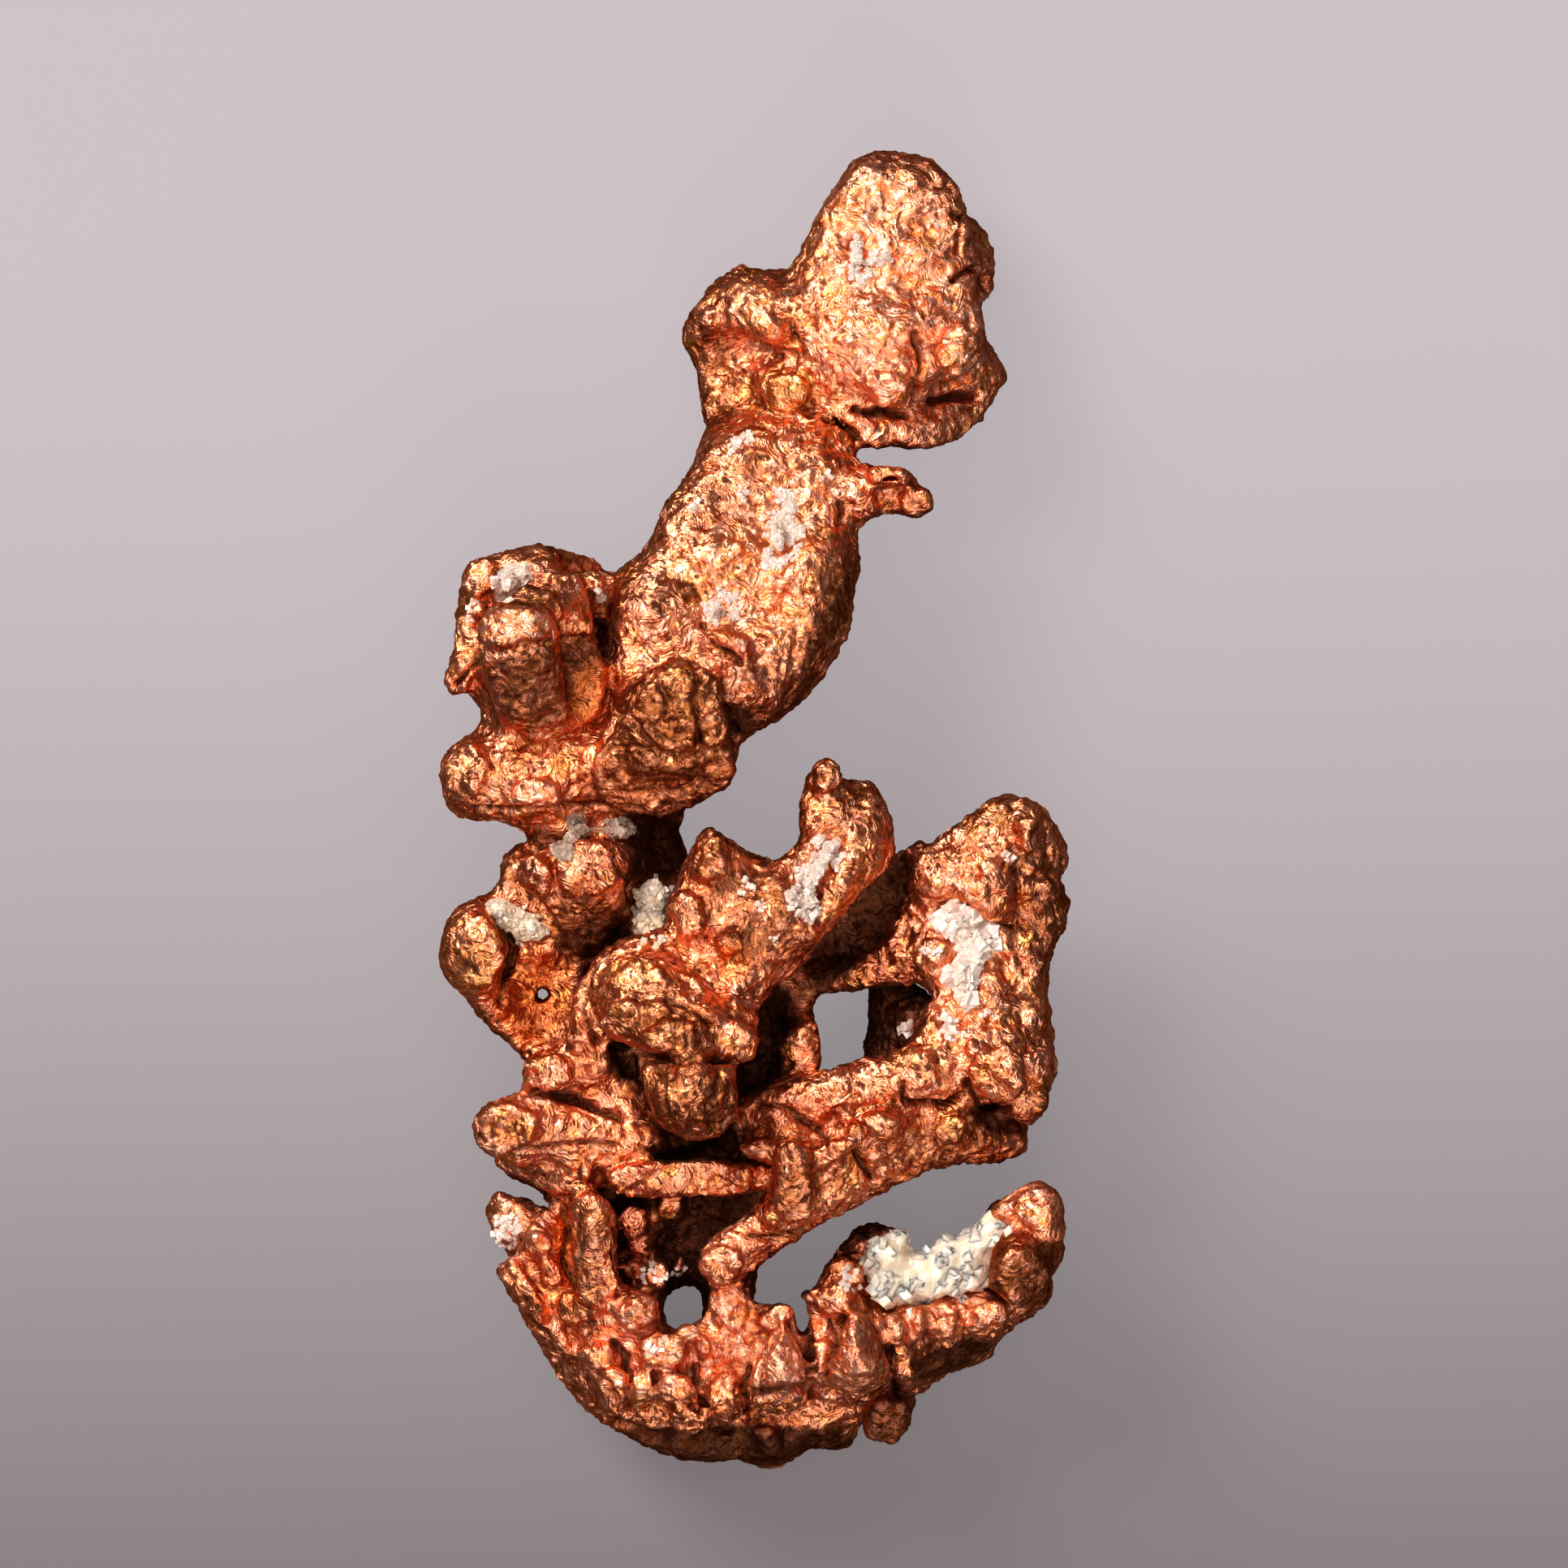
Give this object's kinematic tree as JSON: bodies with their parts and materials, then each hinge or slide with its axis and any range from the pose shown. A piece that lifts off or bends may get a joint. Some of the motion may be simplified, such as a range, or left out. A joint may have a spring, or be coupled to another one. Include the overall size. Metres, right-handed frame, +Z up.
{
  "type": "native copper specimen",
  "caption": "Branching native copper specimen that lies on its back, with milky quartz in its hollows.",
  "frame": {"origin": "middle of the bounding box's base, on the surface that the specimen lies on", "axes": "+X to the right and +Y towards the head, seen from above; +Z up, away from the surface"},
  "size_m": [0.0216, 0.045, 0.014],
  "materials": {
    "copper": "satin",
    "quartz": "satin"
  },
  "bodies": {
    "root": {"head": "copper", "stem": "copper", "trunk": "copper", "crown": "copper", "loop": "copper", "arm": "copper", "quartz_arm_pocket": "quartz", "quartz_loop_patch": "quartz", "quartz_crown_patch": "quartz", "quartz_trunk_seam": "quartz", "quartz_claw_crust": "quartz", "quartz_knob_pocket": "quartz", "quartz_stem_upper": "quartz", "quartz_stem_lower": "quartz", "quartz_head_patch": "quartz", "quartz_neck": "quartz"}
  },
  "joints": []
}
